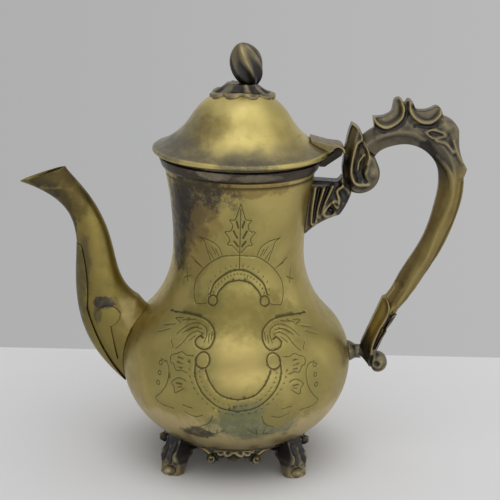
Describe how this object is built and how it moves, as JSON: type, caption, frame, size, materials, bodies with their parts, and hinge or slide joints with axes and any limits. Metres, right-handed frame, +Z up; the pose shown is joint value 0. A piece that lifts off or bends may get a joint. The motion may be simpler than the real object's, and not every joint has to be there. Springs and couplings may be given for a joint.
{
  "type": "coffee pot",
  "caption": "Footed brass coffee pot: pear-shaped body with a swan-neck spout, a cast scroll handle and a hinged dome lid topped by a bud finial; holds and pours a hot drink.",
  "frame": {"origin": "on the floor under the axis of the round body, between the four feet", "axes": "+X from the body's axis to the handle, -X to the spout, +Z up, +Y away from the side that faces the camera"},
  "size_m": [0.2394, 0.126, 0.2298],
  "materials": {
    "sheet_brass": "worn satin",
    "cast_brass": "dark patina, bright on worn edges"
  },
  "bodies": {
    "pot": {"body_shell": "sheet_brass", "bottom_plate": "sheet_brass", "mouth_rim": "sheet_brass", "foot_handle_rear": "cast_brass", "foot_spout_rear": "cast_brass", "foot_spout_front": "cast_brass", "foot_handle_front": "cast_brass", "apron_rear": "cast_brass", "apron_spout": "cast_brass", "apron_front": "cast_brass", "apron_handle": "cast_brass", "spout_tube": "sheet_brass", "spout_front_leaf": "sheet_brass", "spout_cheek_near": "sheet_brass", "spout_cheek_far": "sheet_brass", "handle_bracket": "cast_brass", "handle_scroll": "cast_brass", "handle_grip": "cast_brass", "handle_sheath": "cast_brass", "handle_stub": "cast_brass", "hinge_bracket": "sheet_brass", "hinge_pin": "cast_brass"},
    "lid": {"lid_shell": "sheet_brass", "lid_bezel": "sheet_brass", "lid_hinge_leaf": "sheet_brass", "finial_calyx": "cast_brass", "finial_stud": "cast_brass", "finial_washer": "cast_brass", "finial_nut": "cast_brass", "finial_bud": "cast_brass"}
  },
  "joints": [
    {"name": "lid_hinge", "type": "hinge", "parent": "pot", "child": "lid", "pos_m": [0.0515, 0, 0.1736], "axis": [0, 1, 0], "range_deg": [0, 85]}
  ]
}
